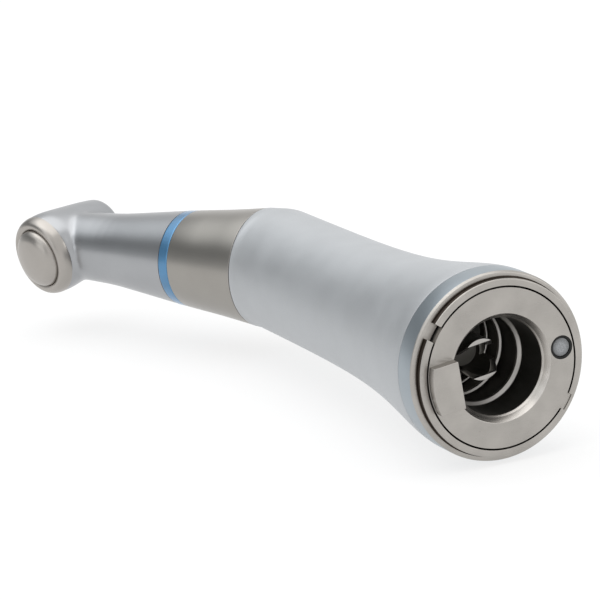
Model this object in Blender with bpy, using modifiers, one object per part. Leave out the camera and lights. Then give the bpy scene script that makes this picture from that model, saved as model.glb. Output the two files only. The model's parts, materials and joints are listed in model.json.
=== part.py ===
"""Contra angle handpiece (1:1, push-button head, internal light and spray).

It lies on its side: +X runs along the handle from the motor coupling to the elbow, the neck bends
towards +Y, and the head's push button faces the inside of the bend. Lengths are millimetres, scaled
to metres by MM. Every round piece is made on one of three axes: handle, neck and head.
"""

import math

import bmesh
import bpy
from mathutils import Matrix, Vector

MM = 0.001

# Overall layout
ELBOW_AT = 53.2
BEND = math.radians(26.6)
CORNER = 0.8
HEAD_AT = 32.85
HEAD_LEAN = math.radians(11.0)
CLOCKING = math.radians(-7.5)
HEAD_ROLL = math.radians(-9.0)

# Outer skin
RIM_RADIUS = 10.15
FLARE_START = 3.4
FLARE_LENGTH = 13.2
FLARE_POWER = 1.43
WAIST_RADIUS = 7.12
SHEATH_START = 3.55
SHEATH_WALL = 0.9
SHEATH_END = 2.3
SHEATH_END_RADIUS = 6.99
SLEEVE = (2.45, 12.6)
SLEEVE_RADII = (6.96, 5.78)
RING = (12.75, 14.05)
RING_RADIUS = 5.72
NECK_START = 14.2
NECK_RADII = (5.62, 4.31)
NECK_END = 24.8
HEAD_RADIUS = 4.95

# Coupling
FACE_AT = -0.5
FACE_RADIUS = 8.6
LOCK_RADIUS = 9.5
LOCK_DEPTH = 2.3
BORE_RADIUS = 5.2
BORE_DEPTH = 14.0
LAND_DEPTHS = (4.8, 9.0, 12.1)
LUG_HEIGHT = 1.0
LUG_WIDTH = 5.2
LUG_RADIUS = 8.5
LUG_ANGLE = math.radians(-6.5)
SLOT_ANGLE = math.radians(34.2)
SLOT_DEPTH = 0.9
WINDOW_OFFSET = 7.2
WINDOW_RADIUS = 1.12

# Drive line
GAP = 0.15
RUN = 0.06
DRIVE_SHAFT_RADIUS = 1.5
NECK_SHAFT_RADIUS = 0.8
SPINDLE_RADIUS = 1.7
BUTTON_RADIUS = 3.75
FORK_TRAVEL = 1.0
TEETH = 12
ELBOW_PITCH = math.radians(90.0) - BEND / 2
HEAD_PITCH = math.radians(45.0) - HEAD_LEAN / 2
ELBOW_FACE = (1.8, 2.6)
HEAD_FACE = (3.75, 4.35)

# Tubes that run beside the drive line
LIGHT_ANGLE = math.pi + CLOCKING
TUBE_SPREAD = math.radians(26.0)

SEGMENTS = 32
MID_SEGMENTS = 24
SMALL_SEGMENTS = 16
BEARING_SEGMENTS = 16
BALLS = 5

STEEL = ("steel", (0.50, 0.48, 0.46), 0.28, 1.0)
DARK_STEEL = ("dark_steel", (0.16, 0.155, 0.15), 0.42, 1.0)
BLASTED = ("blasted_silver", (0.44, 0.47, 0.50), 0.45, 1.0)
BAND = ("band_silver", (0.30, 0.35, 0.38), 0.32, 1.0)
SATIN = ("satin_chrome", (0.47, 0.48, 0.50), 0.22, 1.0)
WARM = ("button_steel", (0.48, 0.44, 0.40), 0.25, 1.0)
BRASS = ("brass", (0.60, 0.45, 0.20), 0.30, 1.0)
BLUE = ("blue_ring", (0.05, 0.24, 0.52), 0.30, 0.0)
GLASS = ("light_glass", (0.62, 0.66, 0.70), 0.15, 0.0)
RUBBER = ("seal_rubber", (0.02, 0.02, 0.02), 0.60, 0.0)
CAGE = ("cage_polymer", (0.45, 0.30, 0.14), 0.50, 0.0)


# ---------------------------------------------------------------- scene and materials

def clear_scene():
    for old in list(bpy.data.objects):
        bpy.data.objects.remove(old, do_unlink=True)


def new_collection(name):
    collection = bpy.data.collections.new(name)
    bpy.context.scene.collection.children.link(collection)
    return collection


clear_scene()
PARTS = new_collection("contra_angle_handpiece")
CUTTERS = new_collection("cutters")


def material(spec):
    name, colour, roughness, metallic = spec
    found = bpy.data.materials.get(name)
    if found:
        return found
    made = bpy.data.materials.new(name)
    made.use_nodes = True
    shader = made.node_tree.nodes["Principled BSDF"]
    shader.inputs["Base Color"].default_value = (*colour, 1.0)
    shader.inputs["Roughness"].default_value = roughness
    shader.inputs["Metallic"].default_value = metallic
    made.diffuse_color = (*colour, 1.0)
    return made


# ---------------------------------------------------------------- frames

def axis_matrix(origin, z_axis, x_axis):
    """A frame whose Z is a part's axis and whose X points where its angles start."""
    z_axis = Vector(z_axis).normalized()
    x_axis = Vector(x_axis).normalized()
    y_axis = z_axis.cross(x_axis)
    turn = Matrix((x_axis, y_axis, z_axis)).transposed().to_4x4()
    return Matrix.Translation(Vector(origin) * MM) @ turn


def frame_empty(name, parent, origin=(0, 0, 0), z_axis=(0, 0, 1), x_axis=(1, 0, 0)):
    empty = bpy.data.objects.new(name, None)
    empty.empty_display_size = 4 * MM
    PARTS.objects.link(empty)
    empty.parent = parent
    empty.matrix_local = axis_matrix(origin, z_axis, x_axis)
    return empty


ALONG = Vector((1, 0, 0))
ASIDE = Vector((0, 1, 0))
NECK_DIR = Vector((math.cos(BEND), math.sin(BEND), 0))
NECK_SIDE = Vector((-math.sin(BEND), math.cos(BEND), 0))
GEAR_SIDE = Matrix.Rotation(HEAD_ROLL, 3, NECK_DIR) @ NECK_SIDE
HEAD_DIR = GEAR_SIDE * math.cos(HEAD_LEAN) + NECK_DIR * math.sin(HEAD_LEAN)
HEAD_BACK = GEAR_SIDE * math.sin(HEAD_LEAN) - NECK_DIR * math.cos(HEAD_LEAN)
ELBOW = ALONG * ELBOW_AT
HEAD = ELBOW + NECK_DIR * HEAD_AT

ROOT = frame_empty("handpiece_frame", None)
HANDLE = frame_empty("handle_axis", ROOT, (0, 0, 0), ALONG, ASIDE)
NECK = frame_empty("neck_axis", ROOT, ELBOW, NECK_DIR, NECK_SIDE)
HEAD_AXIS = frame_empty("head_axis", ROOT, HEAD, HEAD_DIR, HEAD_BACK)


# ---------------------------------------------------------------- shape helpers

def add_object(name, data, frame, spec, cutter=False):
    made = bpy.data.objects.new(name, data)
    (CUTTERS if cutter else PARTS).objects.link(made)
    made.parent = frame
    if spec:
        data.materials.append(material(spec))
    if cutter:
        made.hide_render = True
        made.display_type = "WIRE"
    return made


def smooth(made, angle=35.0):
    made.data.shade_smooth()
    made.data.set_sharp_from_angle(angle=math.radians(angle))


def apply_modifiers(made):
    """Keeps the evaluated shape as the object's own mesh, smooth with crisp corners."""
    bpy.context.view_layer.update()
    shape = made.evaluated_get(bpy.context.evaluated_depsgraph_get())
    mesh = bpy.data.meshes.new_from_object(shape)
    made.modifiers.clear()
    made.data = mesh
    mesh.name = made.name
    smooth(made)


def clockwise(profile):
    """A turned profile runs down its outer side, so that its faces point out."""
    closed = profile + profile[:1]
    area = sum(a[0] * b[1] - b[0] * a[1] for a, b in zip(closed, closed[1:]))
    return profile if area < 0 else profile[::-1]


def turned(name, frame, profile, spec, segments=SEGMENTS, cutter=False):
    """Turns a closed outline of (radius, height) points about the frame's axis."""
    points = clockwise([tuple(point) for point in profile])
    mesh = bpy.data.meshes.new(name)
    shape = bmesh.new()
    verts = [shape.verts.new((radius * MM, 0, height * MM)) for radius, height in points]
    on_axis = [radius == 0 for radius, _ in points]
    for index, vert in enumerate(verts):
        following = (index + 1) % len(verts)
        if not (on_axis[index] and on_axis[following]):
            shape.edges.new((vert, verts[following]))
    shape.to_mesh(mesh)
    shape.free()
    made = add_object(name, mesh, frame, spec, cutter)
    screw = made.modifiers.new("turn", "SCREW")
    screw.axis = "Z"
    screw.steps = segments
    screw.render_steps = segments
    screw.use_merge_vertices = True
    screw.merge_threshold = 0.00001
    apply_modifiers(made)
    return made


def tube(name, frame, outer, inner, low, high, spec, segments=SEGMENTS):
    return turned(name, frame, [(inner, low), (outer, low), (outer, high), (inner, high)], spec, segments)


def rod_cutter(name, frame, radius, low, high, offset=0.0, angle=0.0):
    """A round cutter parallel to the frame's axis, beside it at the given angle."""
    mesh = bpy.data.meshes.new(name)
    shape = bmesh.new()
    bmesh.ops.create_cone(shape, cap_ends=True, segments=SMALL_SEGMENTS, radius1=radius * MM,
                          radius2=radius * MM, depth=(high - low) * MM)
    shape.to_mesh(mesh)
    shape.free()
    made = add_object(name, mesh, frame, None, cutter=True)
    made.location = Vector((offset * math.cos(angle), offset * math.sin(angle), (low + high) / 2)) * MM
    return made


def box_cutter(name, frame, size, centre, turn=0.0):
    """A square cutter, turned about the frame's axis."""
    mesh = bpy.data.meshes.new(name)
    shape = bmesh.new()
    bmesh.ops.create_cube(shape, size=1.0)
    bmesh.ops.scale(shape, vec=Vector(size) * MM, verts=shape.verts)
    shape.to_mesh(mesh)
    shape.free()
    made = add_object(name, mesh, frame, None, cutter=True)
    made.location = Matrix.Rotation(turn, 3, "Z") @ Vector(centre) * MM
    made.rotation_euler = (0, 0, turn)
    return made


def prism_cutter(name, frame, outline, width, turn=0.0):
    """An outline of (across, height) points, extruded along the frame's X."""
    mesh = bpy.data.meshes.new(name)
    shape = bmesh.new()
    verts = [shape.verts.new((-width / 2 * MM, across * MM, height * MM)) for across, height in outline]
    face = shape.faces.new(verts)
    pushed = bmesh.ops.extrude_face_region(shape, geom=[face])
    moved = [item for item in pushed["geom"] if isinstance(item, bmesh.types.BMVert)]
    bmesh.ops.translate(shape, vec=(width * MM, 0, 0), verts=moved)
    bmesh.ops.recalc_face_normals(shape, faces=shape.faces)
    shape.to_mesh(mesh)
    shape.free()
    made = add_object(name, mesh, frame, None, cutter=True)
    made.rotation_euler = (0, 0, turn)
    return made


def boolean(target, other, operation="DIFFERENCE"):
    modifier = target.modifiers.new(operation.lower(), "BOOLEAN")
    modifier.operation = operation
    modifier.object = other
    modifier.solver = "EXACT"


def round_bar(name, route, radius, spec):
    """A bent rod through smooth points given in the handpiece's own frame."""
    curve = bpy.data.curves.new(name, "CURVE")
    curve.dimensions = "3D"
    curve.bevel_depth = radius * MM
    curve.bevel_resolution = 1
    curve.use_fill_caps = True
    spline = curve.splines.new("POLY")
    spline.points.add(len(route) - 1)
    for point, place in zip(spline.points, route):
        point.co = (*(Vector(place) * MM), 1.0)
    return add_object(name, curve, ROOT, spec)


def spring(name, frame, radius, wire, low, high, turns, spec):
    """A coil whose wire ends inside the stated length."""
    steps = 10
    count = int(turns * steps)
    climb = high - low - 2 * wire
    curve = bpy.data.curves.new(name, "CURVE")
    curve.dimensions = "3D"
    curve.bevel_depth = wire * MM
    curve.bevel_resolution = 1
    curve.use_fill_caps = True
    spline = curve.splines.new("POLY")
    spline.points.add(count)
    for index, point in enumerate(spline.points):
        angle = 2 * math.pi * index / steps
        height = low + wire + climb * index / count
        point.co = (radius * math.cos(angle) * MM, radius * math.sin(angle) * MM, height * MM, 1.0)
    return add_object(name, curve, frame, spec)


def o_ring(name, frame, radius, thickness, at):
    angles = [2 * math.pi * index / 6 for index in range(6)]
    outline = [(radius + thickness * math.cos(angle), at + thickness * math.sin(angle)) for angle in angles]
    return turned(name, frame, outline, RUBBER, MID_SEGMENTS)


# ---------------------------------------------------------------- bearings and gears

def ball_bearing(name, frame, low, high, outer, inner):
    """An outer ring, an inner ring, and a cage that carries its balls, each its own piece.

    The outer ring's track is deep enough for the flats of its faceted groove to clear the balls.
    """
    middle = (outer + inner) / 2
    ball = (outer - inner) * 0.27
    wall = (outer - inner) * 0.27
    centre = (low + high) / 2
    groove = ball * 0.75
    outer_track = (middle + ball + 0.03) / math.cos(math.pi / BEARING_SEGMENTS)
    rings = (("_outer_ring", outer, outer - wall, outer_track),
             ("_inner_ring", inner, inner + wall, middle - ball - RUN))
    for suffix, seat, shoulder, track in rings:
        outline = [(seat, low), (seat, high), (shoulder, high), (shoulder, centre + groove), (track, centre),
                   (shoulder, centre - groove), (shoulder, low)]
        turned(name + suffix, frame, outline, STEEL, BEARING_SEGMENTS)
    cage = tube(name + "_cage", frame, middle + ball * 0.35, middle - ball * 0.35, low + 0.15, high - 0.15, CAGE,
                BEARING_SEGMENTS)
    mesh = bpy.data.meshes.new(name + "_balls")
    shape = bmesh.new()
    for index in range(BALLS):
        angle = 2 * math.pi * index / BALLS
        place = Matrix.Translation(Vector((middle * math.cos(angle), middle * math.sin(angle), centre)) * MM)
        bmesh.ops.create_icosphere(shape, subdivisions=1, radius=ball * MM,
                                   matrix=place @ Matrix.Rotation(angle, 4, "Z"))
    shape.to_mesh(mesh)
    shape.free()
    boolean(cage, add_object(name + "_balls", mesh, frame, None, cutter=True), "UNION")


def skin(name, frame, rings, spec):
    """Closes a run of matching rings into one ring-shaped body, as a loft between them."""
    mesh = bpy.data.meshes.new(name)
    shape = bmesh.new()
    loops = [[shape.verts.new(Vector(point) * MM) for point in ring] for ring in rings]
    for ring, following in zip(loops, loops[1:] + loops[:1]):
        for index in range(len(ring)):
            after = (index + 1) % len(ring)
            shape.faces.new((ring[index], ring[after], following[after], following[index]))
    bmesh.ops.recalc_face_normals(shape, faces=shape.faces)
    shape.to_mesh(mesh)
    shape.free()
    return add_object(name, mesh, frame, spec)


def bevel_gear(name, frame, pitch, face, bore, back, hub, phase=0.0):
    """A bevel gear whose teeth taper to the frame's origin, where its mate's axis crosses."""
    tip_lift = math.radians(5.5)
    root_drop = math.radians(8.0)
    step = 2 * math.pi / TEETH
    flank = ((-0.25, -root_drop), (-0.11, tip_lift), (0.11, tip_lift), (0.25, -root_drop))
    angles = []
    lifts = []
    for tooth in range(TEETH):
        for offset, lift in flank:
            angles.append((tooth + phase + offset) * step)
            lifts.append(lift)

    def toothed(distance):
        return [(distance * math.sin(pitch + lift) * math.cos(angle),
                 distance * math.sin(pitch + lift) * math.sin(angle),
                 distance * math.cos(pitch + lift)) for angle, lift in zip(angles, lifts)]

    def plain(radius, height):
        return [(radius * math.cos(angle), radius * math.sin(angle), height) for angle in angles]

    near, far = face
    root = pitch - root_drop
    rim = far * math.sin(root)
    rim_back = far * math.cos(root) + 0.2
    rings = [toothed(near), toothed(far), plain(rim, rim_back), plain(hub, rim_back + 0.1),
             plain(hub, back), plain(bore, back), plain(bore, near * math.cos(root))]
    return skin(name, frame, rings, STEEL)


# ---------------------------------------------------------------- outer skin

def flare(distance):
    """The handle's radius at a distance from the motor face."""
    if distance <= FLARE_START:
        return RIM_RADIUS
    fall = math.exp(-((distance - FLARE_START) / FLARE_LENGTH) ** FLARE_POWER)
    return WAIST_RADIUS + (RIM_RADIUS - WAIST_RADIUS) * fall


def square_ring(axis, side, start, distance, radius):
    """One circle of the sheath, square to a straight stretch of it."""
    return leaning_ring(axis, side, start, distance, radius, 0.0)


def leaning_ring(axis, side, start, distance, radius, slope):
    """A circle of the sheath that runs further along it, by the slope, towards one side."""
    ring = []
    for index in range(SEGMENTS):
        angle = 2 * math.pi * index / SEGMENTS
        across = radius * math.cos(angle)
        along = distance + across * slope
        ring.append(start + axis * along + side * across + Vector((0, 0, radius * math.sin(angle))))
    return ring


def sheath_wall(stations, inset):
    """One wall of the sheath: rings along the handle, a mitred corner, and the end past the elbow."""
    mitre = math.tan(BEND / 2)
    origin = Vector((0, 0, 0))
    corner = WAIST_RADIUS - inset
    rings = [square_ring(ALONG, ASIDE, origin, distance, flare(distance) - inset) for distance in stations]
    rings.append(leaning_ring(ALONG, ASIDE, origin, ELBOW_AT - CORNER / 2, corner, -mitre))
    rings.append(leaning_ring(NECK_DIR, NECK_SIDE, ELBOW, CORNER / 2, corner, mitre))
    rings.append(square_ring(NECK_DIR, NECK_SIDE, ELBOW, SHEATH_END, SHEATH_END_RADIUS - inset))
    return rings


def grip_sheath():
    """The blasted outer sheath: flared at the motor end, straight, then bent at the elbow."""
    stations = [SHEATH_START, 5.0, 6.5, 8.0, 9.5, 11.0, 13.0, 15.5, 18.5, 23.0, 29.0, 47.0]
    outer = sheath_wall(stations, 0.0)
    inner = sheath_wall(stations[::2] + stations[-1:], SHEATH_WALL)
    smooth(skin("grip_sheath", ROOT, outer + inner[::-1], BLASTED))


def end_band():
    """The smooth band with a chamfered rim that closes the sheath's motor end."""
    outline = [(9.72, 0.3), (10.0, 0.35), (RIM_RADIUS, 0.6), (RIM_RADIUS, 3.3), (8.75, 3.3), (8.75, 2.5),
               (9.72, 2.5)]
    turned("end_band", HANDLE, outline, BAND)


def lock_ring():
    """The threaded ring that holds the coupling in, with two slots for a pin spanner."""
    outline = [(FACE_RADIUS + GAP, FACE_AT), (LOCK_RADIUS - 0.1, FACE_AT), (LOCK_RADIUS, FACE_AT + 0.1),
               (LOCK_RADIUS, LOCK_DEPTH), (FACE_RADIUS + GAP, LOCK_DEPTH)]
    ring = turned("lock_ring", HANDLE, outline, STEEL)
    slot = box_cutter("spanner_slot", HANDLE, (30, 1.9, 2 * SLOT_DEPTH), (0, 0, FACE_AT), SLOT_ANGLE)
    boolean(ring, slot)


def steel_sleeve():
    outline = [(SLEEVE_RADII[0] - 0.1, SLEEVE[0]), (SLEEVE_RADII[0], SLEEVE[0] + 0.1), (6.37, 6.9),
               (SLEEVE_RADII[1], SLEEVE[1]), (4.85, SLEEVE[1]), (4.85, 7.2), (5.4, 7.2), (5.4, 6.4), (4.85, 6.4),
               (4.85, 5.0), (5.6, 4.2), (5.6, SLEEVE[0])]
    turned("steel_sleeve", NECK, outline, STEEL)


def colour_ring():
    outline = [(RING_RADIUS - 0.1, RING[0]), (RING_RADIUS, RING[0] + 0.1), (RING_RADIUS - 0.05, RING[1] - 0.1),
               (RING_RADIUS - 0.15, RING[1]), (4.85, RING[1]), (4.85, RING[0])]
    turned("colour_ring", NECK, outline, BLUE)


def neck_head_housing():
    """The neck tube and the head's barrel, one piece, bored out for the drive line."""
    tip = NECK_RADII[1] - 0.25
    neck = [(4.7, 5.3), (4.7, NECK_START), (NECK_RADII[0] - 0.1, NECK_START),
            (NECK_RADII[0], NECK_START + 0.1), (NECK_RADII[1], NECK_END), (tip, HEAD_AT - 1.0),
            (0, HEAD_AT - 1.0), (0, 5.3)]
    housing = turned("neck_head_housing", NECK, neck, SATIN)
    barrel = [(0, -5.8), (3.0, -5.8), (3.5, -5.6), (3.82, -5.1), (4.2, -3.2), (4.52, -0.9),
              (4.8, 1.1), (HEAD_RADIUS, 2.6), (4.85, 3.85), (0, 3.85)]
    boolean(housing, turned("head_barrel", HEAD_AXIS, barrel, None, cutter=True), "UNION")
    bore = [(0, 4.0), (3.85, 4.0), (3.85, 24.0), (3.6, 25.5), (3.4, 26.5), (3.4, 31.2), (0, 31.2)]
    hollow = turned("neck_bore", NECK, bore, None, MID_SEGMENTS, cutter=True)
    chamber = [(0, -7.0), (2.3, -7.0), (2.3, -5.5), (3.2, -5.5), (3.2, -4.3), (3.7, -4.2), (3.7, 6.0), (0, 6.0)]
    boolean(hollow, turned("head_chamber", HEAD_AXIS, chamber, None, MID_SEGMENTS, cutter=True), "UNION")
    for name, place, aim, radius in (("window_hole", LIGHT_EXIT, LIGHT_AIM, 0.62),
                                     ("spray_hole", SPRAY_EXIT, SPRAY_AIM, 0.5)):
        hole = rod_cutter(name, ROOT, radius, -2.2, 2.2)
        hole.matrix_local = axis_matrix(place, aim, Vector((0, 0, 1)).cross(aim))
        boolean(hollow, hole, "UNION")
    boolean(housing, hollow)


# ---------------------------------------------------------------- motor coupling

def coupling_insert():
    """The face plate with its index lug, and the tube behind it that takes the motor's nose."""
    outline = [(BORE_RADIUS + 0.55, FACE_AT), (FACE_RADIUS, FACE_AT), (FACE_RADIUS, 2.9), (6.3, 2.9), (6.3, 13.0),
               (5.1, 14.2), (5.1, 24.0), (2.6, 24.0), (2.6, 18.2), (4.1, 18.2), (4.1, BORE_DEPTH),
               (BORE_RADIUS, BORE_DEPTH)]
    for depth in reversed(LAND_DEPTHS):
        outline += [(BORE_RADIUS, depth + 0.4), (BORE_RADIUS - 0.2, depth + 0.2), (BORE_RADIUS, depth - 0.2)]
    outline += [(BORE_RADIUS, 0.9), (BORE_RADIUS + 0.15, FACE_AT + 0.4)]
    insert = turned("coupling_insert", HANDLE, outline, STEEL)
    lug = box_cutter("index_lug", HANDLE, (6.0, LUG_WIDTH, LUG_HEIGHT + 1.0), (8.25, 0, FACE_AT + 0.5 - LUG_HEIGHT / 2),
                     LUG_ANGLE)
    rounding = turned("lug_rounding", HANDLE, [(0, -3), (LUG_RADIUS, -3), (LUG_RADIUS, 3), (0, 3)], None,
                      cutter=True)
    boolean(lug, rounding, "INTERSECT")
    boolean(insert, lug, "UNION")
    boolean(insert, rod_cutter("window_seat", HANDLE, WINDOW_RADIUS + 0.1, -1, 4, WINDOW_OFFSET, LIGHT_ANGLE))


def optics():
    """The glass rod that carries light from the motor face to the bur side of the head."""
    rear = turned("rear_light_window", HANDLE, [(0, FACE_AT + 0.08), (WINDOW_RADIUS, FACE_AT + 0.08),
                                                  (WINDOW_RADIUS, 2.6), (0, 2.6)], GLASS, 24)
    rear.location = Vector((math.cos(LIGHT_ANGLE), math.sin(LIGHT_ANGLE), 0)) * WINDOW_OFFSET * MM
    round_bar("light_rod", LIGHT_ROUTE, 0.42, GLASS)
    front = turned("front_light_window", ROOT, [(0, 0.55), (0.5, 0.55), (0.5, 1.45), (0, 1.45)], GLASS, 16)
    front.matrix_local = axis_matrix(LIGHT_EXIT, LIGHT_AIM, Vector((0, 0, 1)).cross(LIGHT_AIM))


def spray():
    """The water and air tubes, and the nozzle where they end beside the bur."""
    round_bar("water_tube", WATER_ROUTE, 0.34, STEEL)
    round_bar("air_tube", AIR_ROUTE, 0.34, STEEL)
    outline = [(0.18, 0.5), (0.4, 0.5), (0.4, 1.5), (0.18, 1.5)]
    nozzle = turned("spray_nozzle", ROOT, outline, STEEL, 16)
    nozzle.matrix_local = axis_matrix(SPRAY_EXIT, SPRAY_AIM, Vector((0, 0, 1)).cross(SPRAY_AIM))


def beside_handle(distance, radius, angle):
    """A point beside the handle's axis, its angle counted from the inside of the bend."""
    return ALONG * distance + (ASIDE * math.cos(angle) + Vector((0, 0, 1)) * math.sin(angle)) * radius


def beside_neck(distance, radius, angle):
    around = NECK_SIDE * math.cos(angle) + Vector((0, 0, 1)) * math.sin(angle)
    return ELBOW + NECK_DIR * distance + around * radius


def smooth_route(points, parts=3):
    """A soft curve through the points, as a Catmull-Rom spline."""
    ends = [points[0]] + list(points) + [points[-1]]
    route = []
    for before, start, stop, after in zip(ends, ends[1:], ends[2:], ends[3:]):
        for step in range(parts):
            t = step / parts
            route.append(0.5 * (2 * start + (stop - before) * t
                                + (2 * before - 5 * start + 4 * stop - after) * t ** 2
                                + (3 * start - before - 3 * stop + after) * t ** 3))
    return route + [points[-1]]


def tube_route(angle, first, neck_radius, last):
    """A tube's way from the coupling, past the gears at the elbow, to the head."""
    handle = first + [beside_handle(18, 6.1, angle), beside_handle(24, 5.75, angle),
              beside_handle(42, 5.6, angle), beside_handle(50, 5.1, angle)]
    neck = [beside_neck(4.0, 3.5, angle), beside_neck(9.5, neck_radius, angle), beside_neck(20, neck_radius, angle)]
    return smooth_route(handle + neck + last)


LIGHT_EXIT = beside_neck(26.6, 3.9, math.pi)
LIGHT_AIM = (NECK_DIR * 0.45 - NECK_SIDE).normalized()
SPRAY_EXIT = beside_neck(26.6, 3.75, math.pi + TUBE_SPREAD * 0.9)
SPRAY_AIM = (NECK_DIR * 0.45 - NECK_SIDE + Vector((0, 0, -0.45))).normalized()
LIGHT_START = [beside_handle(3.0, WINDOW_OFFSET, LIGHT_ANGLE), beside_handle(12.5, 7.1, LIGHT_ANGLE)]
LIGHT_ROUTE = tube_route(LIGHT_ANGLE, LIGHT_START, 3.12, [beside_neck(25.4, 3.05, math.pi)])
WATER_START = [beside_handle(14.8, 6.6, LIGHT_ANGLE + TUBE_SPREAD)]
WATER_ROUTE = tube_route(LIGHT_ANGLE + TUBE_SPREAD, WATER_START, 3.12,
                         [beside_neck(25.4, 3.05, math.pi + TUBE_SPREAD)])
AIR_START = [beside_handle(14.8, 6.6, LIGHT_ANGLE - TUBE_SPREAD)]
AIR_ROUTE = tube_route(LIGHT_ANGLE - TUBE_SPREAD, AIR_START, 3.12,
                       [beside_neck(25.4, 3.05, math.pi - TUBE_SPREAD)])


# ---------------------------------------------------------------- drive line

def drive_line():
    """The fork that the motor turns, its sprung stem, the long shaft and their two bearings."""
    fork = turned("drive_fork", HANDLE,
                  [(1.6, 3.8), (2.25, 3.8), (2.25, 9.6), (0.85, 9.6), (0.85, 16.0), (0, 16.0), (0, 8.4), (1.6, 8.4)],
                  STEEL, 24)
    valley = [(-2.6, 3.2), (2.6, 3.2), (2.6, 3.6), (0.8, 5.3), (0.8, 7.6), (-0.8, 7.6), (-0.8, 5.3), (-2.6, 3.6)]
    boolean(fork, prism_cutter("fork_valley", HANDLE, valley, 8.0, CLOCKING))
    spring("fork_spring", HANDLE, 1.2, 0.16, 9.75, 12.35, 4, STEEL)
    shaft = [(0.85 + RUN, 12.5), (DRIVE_SHAFT_RADIUS, 12.5), (DRIVE_SHAFT_RADIUS, 49.1), (0, 49.1),
             (0, 16.0 + FORK_TRAVEL + 0.4), (0.85 + RUN, 16.0 + FORK_TRAVEL + 0.4)]
    turned("drive_shaft", HANDLE, shaft, STEEL, 24)
    ball_bearing("rear_bearing", HANDLE, 15.2, 17.9, 4.0, DRIVE_SHAFT_RADIUS + RUN)
    tube("bearing_clip", HANDLE, 4.0, 2.6, 14.3, 14.9, STEEL, 24)
    ball_bearing("elbow_bearing", HANDLE, 44.1, 46.5, 3.5, DRIVE_SHAFT_RADIUS + RUN)
    carrier = [(3.6, 48.3), (3.6, 43.9), (2.4, 43.9), (2.4, 24.3), (4.4, 24.3), (4.4, 42.7), (6.0, 43.3),
               (6.0, 46.3), (4.6, 46.3), (4.6, 48.3)]
    shell = turned("drive_carrier", HANDLE, carrier, DARK_STEEL, 32)
    notch = box_cutter("carrier_notch", HANDLE, (6.0, 9.0, 6.5), (-6.95, 0, 44.8), CLOCKING)
    boolean(shell, notch)
    tube("carrier_nut", HANDLE, 3.5, 2.4, 46.7, 48.1, BRASS, 24)
    gear = frame_empty("drive_gear_apex", ROOT, ELBOW, -ALONG, ASIDE)
    bevel_gear("drive_gear", gear, ELBOW_PITCH, ELBOW_FACE, 0.9, 3.9, 1.45)


def neck_line():
    """The neck shaft with a gear at each end, in a slim carrier with two bearings."""
    turned("neck_shaft", NECK, [(0, 1.3), (NECK_SHAFT_RADIUS, 1.3), (NECK_SHAFT_RADIUS, 30.4), (0, 30.4)], STEEL,
           SMALL_SEGMENTS)
    rear = frame_empty("neck_rear_apex", ROOT, ELBOW, NECK_DIR, NECK_SIDE)
    bevel_gear("neck_rear_gear", rear, ELBOW_PITCH, ELBOW_FACE, NECK_SHAFT_RADIUS + RUN, 3.9, 1.45, 0.5)
    front = frame_empty("neck_front_apex", ROOT, HEAD, -NECK_DIR, -GEAR_SIDE)
    bevel_gear("neck_front_gear", front, HEAD_PITCH, HEAD_FACE, NECK_SHAFT_RADIUS + RUN, 6.0, 1.35)
    ball_bearing("neck_rear_bearing", NECK, 6.2, 7.8, 2.05, NECK_SHAFT_RADIUS + RUN)
    ball_bearing("neck_front_bearing", NECK, 24.2, 25.8, 2.05, NECK_SHAFT_RADIUS + RUN)
    outline = [(2.15, 6.0), (2.15, 8.0), (1.25, 8.2), (1.25, 23.9), (2.15, 24.1), (2.15, 26.0), (2.55, 26.0),
               (2.55, 8.4), (3.7, 8.4), (3.7, 6.0)]
    shell = turned("neck_carrier", NECK, outline, DARK_STEEL, 32)
    boolean(shell, box_cutter("neck_notch", NECK, (3.3, 6.0, 4.0), (-4.0, 0, 7.2)))


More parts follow.
